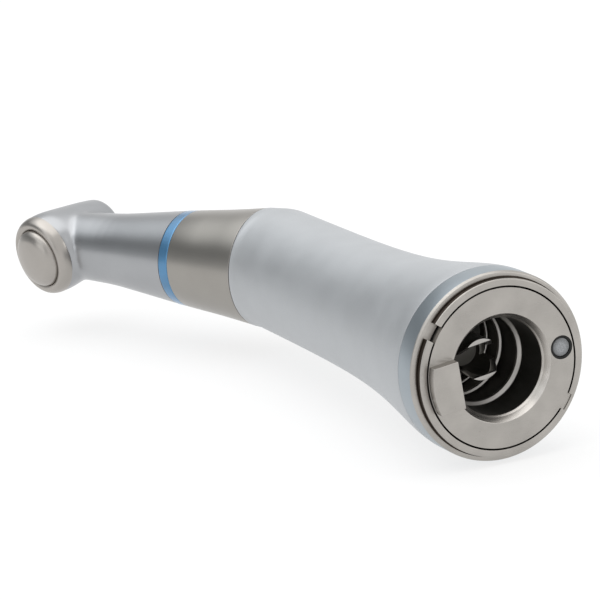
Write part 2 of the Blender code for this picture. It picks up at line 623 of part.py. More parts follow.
def head_line():
    """The spindle that grips the bur, its gear and bearings, and the parts that release it."""
    spindle = [(1.45, -5.65), (SPINDLE_RADIUS, -5.65), (SPINDLE_RADIUS, 3.7), (1.05, 3.7), (1.05, 2.3), (1.45, 2.3)]
    turned("spindle", HEAD_AXIS, spindle, STEEL, 24)
    chuck = turned("bur_chuck", HEAD_AXIS, [(1.19, -5.5), (1.38, -5.5), (1.38, 2.2), (1.19, 2.2)], DARK_STEEL, 20)
    boolean(chuck, box_cutter("chuck_slit", HEAD_AXIS, (4, 0.4, 5.0), (0, 0, 1.5)))
    apex = frame_empty("spindle_gear_apex", ROOT, HEAD, -HEAD_DIR, HEAD_BACK)
    bevel_gear("spindle_gear", apex, HEAD_PITCH, HEAD_FACE, SPINDLE_RADIUS + RUN, 4.35, 2.4, 0.5)
    ball_bearing("nose_bearing", HEAD_AXIS, -5.42, -4.45, 3.1, SPINDLE_RADIUS + RUN)
    ball_bearing("cap_bearing", HEAD_AXIS, 2.4, 3.5, 3.1, SPINDLE_RADIUS + RUN)
    turned("release_pin", HEAD_AXIS, [(0, 1.7), (0.45, 1.7), (0.95, 2.6), (0.95, 3.85), (0, 3.85)], STEEL, 16)
    tube("button_seat", HEAD_AXIS, 3.3, 1.15, 3.82, 3.97, STEEL, 20)
    cap = [(3.2, 2.6), (3.6, 2.6), (3.6, 4.0), (4.8, 4.0), (4.7, 4.6), (4.42, 5.02), (4.15, 5.2),
           (BUTTON_RADIUS + GAP, 5.12), (BUTTON_RADIUS + GAP, 4.25), (3.45, 4.15), (3.45, 3.65), (3.2, 3.65)]
    turned("head_cap", HEAD_AXIS, cap, SATIN, MID_SEGMENTS)
    button = [(0, 6.42), (1.5, 6.33), (2.6, 6.08), (3.3, 5.75), (3.65, 5.4), (BUTTON_RADIUS, 5.1),
              (BUTTON_RADIUS, 4.95), (2.4, 4.95), (2.4, 5.6), (0.9, 5.6), (0.9, 4.15), (0, 4.15)]
    turned("push_button", HEAD_AXIS, button, WARM, MID_SEGMENTS)
    spring("button_spring", HEAD_AXIS, 1.5, 0.12, 4.0, 5.5, 2, STEEL)


def seals():
    o_ring("sleeve_seal", NECK, 5.06, 0.25, 6.8)


def stand_on_origin():
    """Moves the root so that the origin is under the middle of the handpiece, on what it lies on."""
    bpy.context.view_layer.update()
    graph = bpy.context.evaluated_depsgraph_get()
    low = Vector((1, 1, 1))
    high = -low
    for made in PARTS.objects:
        if made.type in {"MESH", "CURVE"}:
            shape = made.evaluated_get(graph)
            for vert in shape.to_mesh().vertices:
                place = made.matrix_world @ vert.co
                low = Vector(map(min, low, place))
                high = Vector(map(max, high, place))
            shape.to_mesh_clear()
    middle = (low + high) / 2
    ROOT.location -= Vector((middle.x, middle.y, low.z))


grip_sheath()
end_band()
lock_ring()
steel_sleeve()
colour_ring()
neck_head_housing()
coupling_insert()
optics()
spray()
drive_line()
neck_line()
head_line()
seals()
stand_on_origin()
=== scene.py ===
"""Looks of the contra angle handpiece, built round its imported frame.

Lengths are millimetres, scaled to metres by MM. Each turned piece is made in the local frame of the
handle, the neck or the head, whose Z is that part's axis, so its material follows the turning.
"""

import json
import math

import bmesh
import bpy
from mathutils import Matrix, Vector


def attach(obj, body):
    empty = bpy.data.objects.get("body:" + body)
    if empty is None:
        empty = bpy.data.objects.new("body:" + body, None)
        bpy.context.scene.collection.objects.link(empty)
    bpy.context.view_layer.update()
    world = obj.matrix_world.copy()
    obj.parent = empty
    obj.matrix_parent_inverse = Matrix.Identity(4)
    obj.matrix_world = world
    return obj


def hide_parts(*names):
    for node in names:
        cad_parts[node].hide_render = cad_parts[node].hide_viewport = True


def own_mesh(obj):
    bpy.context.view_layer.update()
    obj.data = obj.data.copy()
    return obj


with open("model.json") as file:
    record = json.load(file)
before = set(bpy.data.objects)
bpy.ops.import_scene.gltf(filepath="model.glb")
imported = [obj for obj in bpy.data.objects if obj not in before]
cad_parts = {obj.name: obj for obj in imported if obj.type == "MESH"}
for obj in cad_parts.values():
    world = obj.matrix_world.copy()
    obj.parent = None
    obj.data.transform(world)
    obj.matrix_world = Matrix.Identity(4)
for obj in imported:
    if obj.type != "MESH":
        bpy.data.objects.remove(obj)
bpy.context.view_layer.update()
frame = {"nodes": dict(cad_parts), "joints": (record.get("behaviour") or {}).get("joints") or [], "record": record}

MM = 0.001
JOINTS = {joint["name"]: joint for joint in frame["joints"]}
FINE = 144
MEDIUM = 96
SMALL = 64
TINY = 40


# ---------------------------------------------------------------- frames

def axis_frame(joint, x_axis):
    """The frame at a joint, whose Z is the joint's axis and whose X points where its angles start."""
    z_axis = Vector(JOINTS[joint]["axis"]).normalized()
    x_axis = (x_axis - z_axis * x_axis.dot(z_axis)).normalized()
    turn = Matrix((x_axis, z_axis.cross(x_axis), z_axis)).transposed().to_4x4()
    return Matrix.Translation(Vector(JOINTS[joint]["pos_m"])) @ turn


UP = Vector((0, 0, 1))
NECK_DIR = Vector(JOINTS["neck_spin"]["axis"]).normalized()
HANDLE = axis_frame("drive_spin", Vector((0, 1, 0)))
NECK = axis_frame("neck_spin", UP.cross(NECK_DIR))
HEAD = axis_frame("spindle_spin", -NECK_DIR)
MOTOR_FACE = HANDLE.translation
ELBOW = NECK.translation
ALONG = Vector((1, 0, 0))
BEND = ALONG.angle(NECK_DIR)
ELBOW_AT = (ELBOW - MOTOR_FACE).x / MM
HEAD_AT = (HEAD.translation - ELBOW).length / MM
CLOCKING = math.radians(-7.5)
NECK_SIDE = UP.cross(NECK_DIR)


# ---------------------------------------------------------------- materials

def node_material(name):
    """A new material, with its nodes, its links and its shader."""
    made = bpy.data.materials.new(name)
    made.use_nodes = True
    return made, made.node_tree.nodes, made.node_tree.links, made.node_tree.nodes["Principled BSDF"]


def noise_at(nodes, links, coords, scale, stretch=(1, 1, 1), detail=4.0, turn=0.0):
    """A noise whose grain is 1/scale metres, drawn out along the axes with a small stretch."""
    mapping = nodes.new("ShaderNodeMapping")
    mapping.inputs["Scale"].default_value = stretch
    mapping.inputs["Rotation"].default_value = (0, 0, turn)
    links.new(coords, mapping.inputs["Vector"])
    made = nodes.new("ShaderNodeTexNoise")
    made.inputs["Scale"].default_value = scale
    made.inputs["Detail"].default_value = detail
    links.new(mapping.outputs["Vector"], made.inputs["Vector"])
    return made.outputs["Fac"]


def remap(nodes, links, value, low, high, start=0.3, stop=0.7):
    """Spreads a value between start and stop over the range from low to high."""
    made = nodes.new("ShaderNodeMapRange")
    made.inputs["From Min"].default_value = start
    made.inputs["From Max"].default_value = stop
    made.inputs["To Min"].default_value = low
    made.inputs["To Max"].default_value = high
    links.new(value, made.inputs["Value"])
    return made.outputs["Result"]


def bumped(nodes, links, height, strength, distance):
    """The normal that a relief of so many millimetres gives."""
    made = nodes.new("ShaderNodeBump")
    made.inputs["Strength"].default_value = strength
    made.inputs["Distance"].default_value = distance * MM
    links.new(height, made.inputs["Height"])
    return made.outputs["Normal"]


def tinted(nodes, links, factor, first, second):
    """Mixes two colours, of which the second may be a socket."""
    made = nodes.new("ShaderNodeMix")
    made.data_type = "RGBA"
    made.inputs["A"].default_value = (*first, 1)
    if isinstance(second, bpy.types.NodeSocket):
        links.new(second, made.inputs["B"])
    else:
        made.inputs["B"].default_value = (*second, 1)
    links.new(factor, made.inputs["Factor"])
    return made.outputs["Result"]


def shaded(colour, amount):
    """A colour made darker or brighter."""
    return tuple(channel * amount for channel in colour)


def metal(name, colour, roughness, grain, stretch=(1, 1, 1), relief=0.3, depth=0.004, spread=0.06,
          turn=0.0, wear=0.5, tint=0.10):
    """Metal with a fine grain in its relief and roughness, a faint tarnish, and brighter worn edges."""
    made, nodes, links, shader = node_material(name)
    coords = nodes.new("ShaderNodeTexCoord").outputs["Object"]
    fine = noise_at(nodes, links, coords, grain, stretch, 3.0, turn)
    broad = noise_at(nodes, links, coords, 260.0, (1, 1, 1), 5.0)
    tarnish = remap(nodes, links, broad, 0, 1)
    tone = tinted(nodes, links, tarnish, shaded(colour, 1 - tint), shaded(colour, 1 + tint / 2))
    point = nodes.new("ShaderNodeNewGeometry").outputs["Pointiness"]
    edge = remap(nodes, links, point, 0, wear, 0.515, 0.56)
    mixed = nodes.new("ShaderNodeMix")
    mixed.data_type = "RGBA"
    mixed.inputs["B"].default_value = (*shaded(colour, 1.35), 1)
    links.new(edge, mixed.inputs["Factor"])
    links.new(tone, mixed.inputs["A"])
    links.new(mixed.outputs["Result"], shader.inputs["Base Color"])
    rough = nodes.new("ShaderNodeMath")
    rough.operation = "ADD"
    links.new(remap(nodes, links, fine, roughness - spread, roughness + spread), rough.inputs[0])
    links.new(remap(nodes, links, broad, -spread / 2, spread / 2), rough.inputs[1])
    links.new(rough.outputs[0], shader.inputs["Roughness"])
    links.new(bumped(nodes, links, fine, relief, depth), shader.inputs["Normal"])
    shader.inputs["Metallic"].default_value = 1.0
    made.diffuse_color = (*colour, 1)
    return made


def plain_surface(name, colour, roughness, grain=2500.0, relief=0.08, depth=0.005, coat=0.0, metallic=0.0):
    """A painted, moulded or rubber surface with a soft orange-peel relief."""
    made, nodes, links, shader = node_material(name)
    coords = nodes.new("ShaderNodeTexCoord").outputs["Object"]
    fine = noise_at(nodes, links, coords, grain)
    broad = noise_at(nodes, links, coords, 400.0)
    tone = tinted(nodes, links, remap(nodes, links, broad, 0, 1), shaded(colour, 0.88), shaded(colour, 1.1))
    links.new(tone, shader.inputs["Base Color"])
    links.new(remap(nodes, links, fine, roughness - 0.05, roughness + 0.07), shader.inputs["Roughness"])
    links.new(bumped(nodes, links, fine, relief, depth), shader.inputs["Normal"])
    shader.inputs["Coat Weight"].default_value = coat
    shader.inputs["Metallic"].default_value = metallic
    made.diffuse_color = (*colour, 1)
    return made


def light_glass():
    """The end of a fused glass rod: milky, with a darker edge where it meets its sleeve."""
    made, nodes, links, shader = node_material("rod_glass")
    coords = nodes.new("ShaderNodeTexCoord").outputs["Object"]
    speckle = noise_at(nodes, links, coords, 9000.0)
    across = nodes.new("ShaderNodeSeparateXYZ")
    links.new(coords, across.inputs["Vector"])
    flat = nodes.new("ShaderNodeCombineXYZ")
    links.new(across.outputs["X"], flat.inputs["X"])
    links.new(across.outputs["Y"], flat.inputs["Y"])
    length = nodes.new("ShaderNodeVectorMath")
    length.operation = "LENGTH"
    links.new(flat.outputs["Vector"], length.inputs[0])
    edge = remap(nodes, links, length.outputs["Value"], 0, 1, 0.45 * MM, 1.05 * MM)
    milky = remap(nodes, links, speckle, 0, 1)
    grainy = tinted(nodes, links, milky, (0.12, 0.125, 0.13), (0.32, 0.33, 0.345))
    mixed = nodes.new("ShaderNodeMix")
    mixed.data_type = "RGBA"
    mixed.inputs["B"].default_value = (0.07, 0.072, 0.075, 1)
    links.new(edge, mixed.inputs["Factor"])
    links.new(grainy, mixed.inputs["A"])
    links.new(mixed.outputs["Result"], shader.inputs["Base Color"])
    links.new(remap(nodes, links, speckle, 0.12, 0.3), shader.inputs["Roughness"])
    shader.inputs["Coat Weight"].default_value = 0.6
    return made


TURNED = (1, 1, 500)
TURNED_GRAIN = 60.0


def turned_metal(name, colour, roughness, relief=0.01, depth=0.001, spread=0.004, wear=0.0, tint=0.10):
    """Metal from a lathe, whose faint lines run round the axis."""
    return metal(name, colour, roughness, TURNED_GRAIN, TURNED, relief, depth, spread, wear=wear, tint=tint)


LOOKS = {
    "blasted": metal("blasted_metal", (0.50, 0.515, 0.53), 0.56, 9000.0, relief=0.25, depth=0.005,
                     spread=0.05, wear=0.0, tint=0.04),
    "band": turned_metal("band_metal", (0.33, 0.37, 0.40), 0.36, relief=0.03, spread=0.01, tint=0.05),
    "plate": metal("ground_steel", (0.41, 0.39, 0.364), 0.38, 2600.0, (0.35, 7, 1), relief=0.3, depth=0.002,
                   spread=0.1, turn=0.5, wear=0.0, tint=0.14),
    "steel": turned_metal("turned_steel", (0.52, 0.495, 0.465), 0.28, 0.05, 0.002, 0.02, wear=0.3),
    "land": turned_metal("bright_land", (0.44, 0.425, 0.405), 0.32, 0.03, 0.002, 0.02),
    "sleeve": turned_metal("sleeve_steel", (0.33, 0.315, 0.292), 0.29, tint=0.04),
    "satin": turned_metal("satin_chrome", (0.37, 0.378, 0.39), 0.29, tint=0.04),
    "warm": turned_metal("button_steel", (0.39, 0.368, 0.343), 0.30, spread=0.006, tint=0.05),
    # Painted shade: a dark steel for the deep bore and for the fork inside it.
    "bore": turned_metal("bore_painted_shade", (0.13, 0.125, 0.115), 0.42, 0.05, 0.002, 0.03),
    # A brown tone deepened into painted shade, for the lock ring's walls in the groove by the band.
    "groove": metal("groove_brown_and_shade", (0.06, 0.047, 0.038), 0.42, 3000.0, wear=0.0),
    # Real dark steel for the collet and the dark CAD nodes; also painted as shade on the cap's inner wall.
    "dark": metal("dark_steel", (0.12, 0.115, 0.11), 0.38, 3000.0, wear=0.4),
    "gear": metal("gear_steel", (0.42, 0.41, 0.39), 0.30, 4000.0, wear=0.8),
    "race": turned_metal("ground_race", (0.58, 0.58, 0.58), 0.16, 0.05, 0.001, 0.03, wear=0.5),
    "brass": turned_metal("turned_brass", (0.62, 0.44, 0.18), 0.28, 0.1, 0.002, 0.04, wear=0.5),
    "blue": plain_surface("ring_lacquer", (0.075, 0.22, 0.40), 0.28, 60.0, 0.01, coat=0.7, metallic=0.8),
    "black": plain_surface("black_sleeve", (0.003, 0.003, 0.003), 0.8),
    "cage": plain_surface("cage_polymer", (0.42, 0.27, 0.11), 0.5),
    "rubber": plain_surface("seal_rubber", (0.012, 0.012, 0.012), 0.6),
    "glass": light_glass(),
}


# ---------------------------------------------------------------- mesh helpers

def rounded(outline, radius=0.06, steps=3):
    """Rounds each corner of a closed outline of (radius, height) points, or (radius, height, rounding)."""
    result = []
    count = len(outline)
    for index, point in enumerate(outline):
        here = Vector(point[:2])
        before = Vector(outline[index - 1][:2]) - here
        after = Vector(outline[(index + 1) % count][:2]) - here
        size = point[2] if len(point) > 2 else radius
        if size == 0 or here.x == 0 or before.length == 0 or after.length == 0:
            result.append(tuple(here))
            continue
        reach = min(size, before.length * 0.45, after.length * 0.45)
        start = here + before.normalized() * reach
        stop = here + after.normalized() * reach
        for step in range(steps + 1):
            part = step / steps
            result.append(tuple(start * (1 - part) ** 2 + here * 2 * part * (1 - part) + stop * part ** 2))
    return result


def mesh_object(name, shape, place, look, angle=32.0):
    """Makes an object of a bmesh, which is used up, with its looks and smooth shading."""
    bmesh.ops.recalc_face_normals(shape, faces=shape.faces)
    mesh = bpy.data.meshes.new(name)
    shape.to_mesh(mesh)
    shape.free()
    made = bpy.data.objects.new(name, mesh)
    bpy.context.scene.collection.objects.link(made)
    made.matrix_world = place
    for each in look if isinstance(look, tuple) else (look,):
        mesh.materials.append(LOOKS[each])
    mesh.shade_smooth()
    mesh.set_sharp_from_angle(angle=math.radians(angle))
    return made


def join_rows(shape, rows):
    """Joins closed rows of vertices, where a row of one vertex is a point on the axis."""
    for row, following in zip(rows, rows[1:] + rows[:1]):
        if len(row) == 1 and len(following) == 1:
            continue
        count = max(len(row), len(following))
        for index in range(count):
            after = (index + 1) % count
            corners = [row[index % len(row)], row[after % len(row)],
                       following[after % len(following)], following[index % len(following)]]
            shape.faces.new(list(dict.fromkeys(corners)))


def turned(name, place, outline, look, segments=MEDIUM, rounding=0.06):
    """Turns a closed outline about the frame's axis into a smooth ring or plug."""
    shape = bmesh.new()
    rows = []
    for radius, height in rounded(outline, rounding):
        if radius == 0:
            rows.append([shape.verts.new((0, 0, height * MM))])
            continue
        angles = [2 * math.pi * index / segments for index in range(segments)]
        rows.append([shape.verts.new((radius * math.cos(a) * MM, radius * math.sin(a) * MM, height * MM))
                     for a in angles])
    join_rows(shape, rows)
    return mesh_object(name, shape, place, look)


def paint(made, test, slot):
    """Gives the faces whose middle passes the test, in the piece's own millimetres, another slot."""
    for face in made.data.polygons:
        middle = face.center / MM
        if test(math.hypot(middle.x, middle.y), middle.z, face.normal):
            face.material_index = slot


def block(name, place, size, centre, turn=0.0):
    """A box, turned about the frame's Z after it is placed."""
    shape = bmesh.new()
    bmesh.ops.create_cube(shape, size=1.0)
    bmesh.ops.scale(shape, vec=Vector(size) * MM, verts=shape.verts)
    bmesh.ops.translate(shape, vec=Vector(centre) * MM, verts=shape.verts)
    bmesh.ops.rotate(shape, cent=(0, 0, 0), matrix=Matrix.Rotation(turn, 3, "Z"), verts=shape.verts)
    return mesh_object(name, shape, place, "plate")


def prism(name, place, outline, width, turn=0.0):
    """An outline of (across, height) points, extruded along the frame's X."""
    shape = bmesh.new()
    verts = [shape.verts.new((-width / 2 * MM, across * MM, height * MM)) for across, height in outline]
    pushed = bmesh.ops.extrude_face_region(shape, geom=[shape.faces.new(verts)])
    moved = [item for item in pushed["geom"] if isinstance(item, bmesh.types.BMVert)]
    bmesh.ops.translate(shape, vec=(width * MM, 0, 0), verts=moved)
    bmesh.ops.rotate(shape, cent=(0, 0, 0), matrix=Matrix.Rotation(turn, 3, "Z"), verts=shape.verts)
    return mesh_object(name, shape, place, "steel")


def apply_all(made, angle=32.0):
    """Replaces the mesh with what its modifiers make of it."""
    bpy.context.view_layer.update()
    shape = made.evaluated_get(bpy.context.evaluated_depsgraph_get())
    mesh = bpy.data.meshes.new_from_object(shape)
    made.modifiers.clear()
    made.data = mesh
    mesh.shade_smooth()
    mesh.set_sharp_from_angle(angle=math.radians(angle))


def cut(made, other, operation="DIFFERENCE"):
    """Cuts or joins with another piece, which is used up."""
    modifier = made.modifiers.new("cut", "BOOLEAN")
    modifier.operation = operation
    modifier.object = other
    modifier.solver = "EXACT"
    apply_all(made)
    bpy.data.objects.remove(other)


def soften(made, width=0.06, segments=2):
    """Breaks the crisp edges that the cuts left."""
    bevel = made.modifiers.new("soften", "BEVEL")
    bevel.width = width * MM
    bevel.segments = segments
    bevel.limit_method = "ANGLE"
    bevel.angle_limit = math.radians(40)
    bevel.use_clamp_overlap = True
    apply_all(made, 40.0)


def even_shading(made):
    """Keeps large flat faces flat next to their broken edges."""
    weighted = made.modifiers.new("even_shading", "WEIGHTED_NORMAL")
    weighted.keep_sharp = True


def coil(name, place, radius, wire, low, high, turns, look):
    """A spring with closed ends, its wire a round tube."""
    steps = 28
    sides = 10
    count = int(turns * steps)
    shape = bmesh.new()
    rows = []
    for index in range(count + 1):
        angle = 2 * math.pi * index / steps
        height = low + wire + (high - low - 2 * wire) * index / count
        out = Vector((math.cos(angle), math.sin(angle), 0))
        middle = out * radius + UP * height
        rows.append([shape.verts.new((middle + (out * math.cos(t) + UP * math.sin(t)) * wire) * MM)
                     for t in (2 * math.pi * side / sides for side in range(sides))])
    for row, following in zip(rows, rows[1:]):
        for side in range(sides):
            after = (side + 1) % sides
            shape.faces.new((row[side], row[after], following[after], following[side]))
    shape.faces.new(rows[0])
    shape.faces.new(rows[-1])
    return mesh_object(name, shape, place, look)


def stands_for(made, body, slot, *nodes):
    """Puts a piece on its body, in place of the CAD nodes that it stands for; the slot is not used."""
    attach(made, body)
    if nodes:
        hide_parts(*nodes)


# ---------------------------------------------------------------- grip sheath

RIM = 10.15
FLARE_START = 3.4
FLARE_LENGTH = 13.2
FLARE_CURVE = 1.43
WAIST = 7.12
SHEATH_WALL = 0.9
SHEATH_FIRST = 3.33
SHEATH_STOP = 2.3
SHEATH_END_RADIUS = 6.99
CORNER_ROUNDING = 0.7


def flare(distance):
    """The sheath's radius at a distance from the motor face."""
    if distance <= FLARE_START:
        return RIM
    return WAIST + (RIM - WAIST) * math.exp(-((distance - FLARE_START) / FLARE_LENGTH) ** FLARE_CURVE)


def circle_row(shape, middle, side, radius):
    """A circle of vertices round a middle, in the plane of a sideways direction and the vertical."""
    angles = [2 * math.pi * index / FINE for index in range(FINE)]
    return [shape.verts.new((middle + (side * math.cos(a) + UP * math.sin(a)) * radius) * MM) for a in angles]


def sheath_row(shape, distance, radius):
    """A circle square to the handle."""
    return circle_row(shape, ALONG * distance, Vector((0, 1, 0)), radius)


def corner_rows(shape, radius, end_radius, stop, steps):
    """The elbow and what is past it: each line along the handle meets the neck's in a small rounding."""
    mitre = math.tan(BEND / 2)
    elbow = ALONG * ELBOW_AT
    lines = []
    for index in range(FINE):
        angle = 2 * math.pi * index / FINE
        across = radius * math.cos(angle)
        level = UP * radius * math.sin(angle)
        corner = elbow + ALONG * (-across * mitre) + Vector((0, across, 0)) + level
        out = NECK_SIDE * math.cos(angle) + UP * math.sin(angle)
        end = elbow + NECK_DIR * stop + out * end_radius
        before = corner - ALONG * CORNER_ROUNDING
        after = corner + (end - corner).normalized() * min(CORNER_ROUNDING, (end - corner).length * 0.8)
        line = []
        for step in range(steps + 1):
            part = step / steps
            line.append(before * (1 - part) ** 2 + corner * 2 * part * (1 - part) + after * part ** 2)
        lines.append(line)
    return [[shape.verts.new(line[step] * MM) for line in lines] for step in range(steps + 1)]


def end_row(shape, distance, radius):
    """A circle square to the neck, past the elbow."""
    return circle_row(shape, ALONG * ELBOW_AT + NECK_DIR * distance, NECK_SIDE, radius)


def grip_sheath():
    """The blasted sheath, flared at the motor end and bent at the elbow, with softly rolled ends."""
    shape = bmesh.new()
    first = SHEATH_FIRST
    straight = [first + 0.05 + (ELBOW_AT - 4.0 - first) * index / 100 for index in range(101)]
    tip = SHEATH_END_RADIUS
    rows = [sheath_row(shape, first, RIM - SHEATH_WALL), sheath_row(shape, first, RIM - 0.02),
            sheath_row(shape, first + 0.01, RIM - 0.004)]
    rows += [sheath_row(shape, distance, flare(distance)) for distance in straight]
    rows += corner_rows(shape, WAIST, tip, SHEATH_STOP - 0.1, 8)
    rows += [end_row(shape, SHEATH_STOP - 0.1, tip), end_row(shape, SHEATH_STOP - 0.03, tip - 0.04),
             end_row(shape, SHEATH_STOP, tip - 0.12), end_row(shape, SHEATH_STOP, tip - SHEATH_WALL)]
    rows += corner_rows(shape, WAIST - SHEATH_WALL, tip - SHEATH_WALL, SHEATH_STOP - 0.1, 2)[::-1]
    rows += [sheath_row(shape, distance, flare(distance) - SHEATH_WALL) for distance in straight[::-5]]
    join_rows(shape, rows)
    made = mesh_object("sheath_skin", shape, Matrix.Translation(MOTOR_FACE), "blasted", 45.0)
    stands_for(made, "handpiece", "sheath_metal", "grip_sheath")


# ---------------------------------------------------------------- motor end

FACE_AT = -0.5
BORE = 5.2
MOUTH = 5.83
MOUTH_DEPTH = 0.5
PLATE_EDGE = 8.56
LANDS = ((12.1, 0.25, 0.35), (9.0, 0.36, 0.45), (4.8, 0.45, 0.75))
LUG_ANGLE = math.radians(-6.5)
LUG_EDGE = 8.5
LUG_WIDTH = 5.2
SLOT_ANGLE = math.radians(34.2)
SLOT_WIDTH = 1.8
WINDOW_AT = 7.2
FORK_FACE = 3.8
FORK_RADIUS = 2.25


def end_band():
    """The band round the motor end, its rim ground bright."""
    outline = [(9.62, 0.28, 0.04), (9.98, 0.33, 0.05), (RIM, 0.62, 0.1), (RIM, 3.28, 0.04), (8.75, 3.28),
               (8.75, 2.5), (9.62, 2.5)]
    made = turned("motor_band", HANDLE, outline, ("band", "plate"), FINE)
    paint(made, lambda radius, height, normal: height < 0.64 or radius < 9.64, 1)
    stands_for(made, "handpiece", "band_metal", "end_band")


def lock_ring():
    """The threaded ring with two spanner slots, its walls by the band painted very dark brown: a brown tone and
    painted shade for the groove.
    """
    outline = [(8.75, FACE_AT, 0.03), (9.4, FACE_AT, 0.03), (9.5, FACE_AT + 0.1, 0.05), (9.5, 0.36, 0.02),
               (9.61, 0.38, 0.02), (9.61, 2.3), (8.75, 2.3)]
    made = turned("threaded_ring", HANDLE, outline, ("plate", "groove"), FINE)
    # Above the face the ring is painted a very dark brown: its brown tone with painted shade for the groove
    # between it and the band.
    paint(made, lambda radius, height, normal: height > FACE_AT + 0.16, 1)
    slot = block("slot_pair", HANDLE, (30, SLOT_WIDTH, 1.8), (0, 0, FACE_AT), SLOT_ANGLE)
    cut(made, slot)
    soften(made, 0.03)
    even_shading(made)
    stands_for(made, "handpiece", "steel", "lock_ring")


def coupling():
    """The ground face plate with its lug, and the bore, painted dark as shade, with its bright lands."""
    outline = [(MOUTH, FACE_AT, 0.05), (PLATE_EDGE, FACE_AT, 0.03), (PLATE_EDGE, 2.9), (6.3, 2.9),
               (6.3, 13.0), (5.1, 14.2), (5.1, 24.0), (2.6, 24.0), (2.6, 18.2), (4.1, 18.2), (4.1, 14.0),
               (BORE, 14.0, 0.1)]
    for depth, rise, slope in LANDS:
        crest = BORE - rise
        outline += [(BORE, depth + 0.6, 0.1), (crest, depth + 0.45, 0.08), (crest, depth + 0.2, 0.2),
                    (BORE, depth + 0.2 - rise * slope, 0.1)]
    outline += [(BORE, 0.45, 0.05), (5.38, 0.22, 0.06)]
    looks = ("plate", "bore", "steel", "land")
    made = turned("face_plate", HANDLE, outline, looks, FINE)
    lug = block("lug", HANDLE, (6.0, LUG_WIDTH, 2.0), (8.25, 0, FACE_AT), LUG_ANGLE)
    within = [(0, -3), (LUG_EDGE, -3), (LUG_EDGE, 3), (0, 3)]
    cut(lug, turned("lug_rounding", HANDLE, within, "plate", FINE), "INTERSECT")
    soften(lug, 0.08, 2)
    cut(made, lug, "UNION")
    seat = turned("seat", HANDLE, [(0, -1.2), (1.28, -1.2), (1.28, 3.4), (0, 3.4)], "plate", SMALL)
    seat.location += window_offset()
    cut(made, seat)
    soften(made, 0.03)
    made.data.materials.clear()
    for look in looks:
        made.data.materials.append(LOOKS[look])
    for face in made.data.polygons:
        face.material_index = 0
    paint(made, lambda radius, height, normal: radius < MOUTH and FACE_AT + 0.02 < height < MOUTH_DEPTH, 2)
    # The bore past the mouth is painted dark steel as shade.
    paint(made, lambda radius, height, normal: radius < BORE + 0.1 and height > MOUTH_DEPTH - 0.04, 1)
    for depth, _, _ in LANDS:
        middle = depth + 0.1
        paint(made, lambda radius, height, normal: radius < BORE - 0.01 and abs(height - middle) < 0.38, 3)
    even_shading(made)
    stands_for(made, "handpiece", "steel", "coupling_insert")


def window_offset():
    """From the handle's axis to the light window, across from the lug."""
    return HANDLE.to_3x3() @ Vector((-math.cos(CLOCKING), -math.sin(CLOCKING), 0)) * WINDOW_AT * MM


def rear_window():
    """The end of the light rod in the face plate, in its black sleeve."""
    place = HANDLE.copy()
    place.translation += window_offset()
    rod = [(0, -0.46), (0.75, -0.45), (1.02, -0.38), (1.02, 2.6), (0, 2.6)]
    glass = turned("light_port", place, rod, "glass", SMALL, 0.2)
    stands_for(glass, "handpiece", "light_glass", "rear_light_window")
    ring = [(1.04, -0.45), (1.26, -0.47), (1.26, 2.6), (1.04, 2.6)]
    sleeve = turned("light_port_sleeve", place, ring, "black", SMALL, 0.02)
    stands_for(sleeve, "handpiece", "seal_rubber")


def drive_fork():
    """The sprung dog that the motor turns, with two pointed prongs."""
    outline = [(1.72, FORK_FACE, 0.03), (FORK_RADIUS, FORK_FACE, 0.03), (FORK_RADIUS, 9.6), (0.85, 9.6),
               (0.85, 16.0), (0, 16.0), (0, 8.4), (1.72, 8.4)]
    made = turned("fork_dog", HANDLE, outline, ("bore", "land"), SMALL)
    valley = [(-1.75, 3.2), (1.75, 3.2), (1.75, 3.9), (0.8, 5.3), (0.8, 7.6), (-0.8, 7.6), (-0.8, 5.3),
              (-1.75, 3.9)]
    cut(made, prism("fork_valley", HANDLE, valley, 8.0, CLOCKING))
    soften(made, 0.03)
    # The whole fork is painted the dark bore steel as shade in the bore; only the prongs' end faces get the bright
    # land steel.
    for face in made.data.polygons:
        face.material_index = 0
    paint(made, lambda radius, height, normal: 3.5 < height < 5.4 and normal.z < -0.3, 1)
    stands_for(made, "fork", "steel", "drive_fork")
    spring = coil("fork_coil", HANDLE, 1.2, 0.16, 9.7, 12.4, 5, "steel")
    stands_for(spring, "drive_shaft", "steel", "fork_spring")
    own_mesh(spring)


# ---------------------------------------------------------------- neck and head

SLEEVE_BORE = 4.85
SLEEVE_STOP = 12.62
RING_STOP = 14.08
NECK_START = 14.12
NECK_AT_BARREL = 4.2
BARREL_AT_NECK = 4.6
BLEND_START = 24.0
BLEND_REACH = 2.0
VOXEL = 0.13


def sleeve_and_ring():
    """The steel sleeve at the elbow, grooved inside for its seal, and the lacquered ring after it."""
    outline = [(6.93, 2.36, 0.02), (6.95, 2.4, 0.02), (6.37, 6.9, 2.0), (5.79, SLEEVE_STOP, 0.05),
               (SLEEVE_BORE, SLEEVE_STOP), (SLEEVE_BORE, 7.2), (5.4, 7.2), (5.4, 6.4), (SLEEVE_BORE, 6.4),
               (SLEEVE_BORE, 5.0), (5.6, 4.2), (5.6, 2.36)]
    sleeve = turned("elbow_sleeve", NECK, outline, "sleeve", FINE)
    stands_for(sleeve, "handpiece", "steel", "steel_sleeve")
    outline = [(5.73, 12.67, 0.05), (5.75, 12.8, 0.08), (5.68, 13.95, 0.08), (5.62, RING_STOP, 0.05),
               (SLEEVE_BORE, RING_STOP), (SLEEVE_BORE, 12.67)]
    ring = turned("speed_ring", NECK, outline, "blue", FINE)
    stands_for(ring, "handpiece", "ring_colour", "colour_ring")


def bur_side(distance, radius, lift=0.0):
    """A point beside the neck's axis, on the side that faces the bur, turned by lift about the neck."""
    angle = math.pi + lift
    return NECK @ (Vector((math.cos(angle) * radius, math.sin(angle) * radius, distance)) * MM)


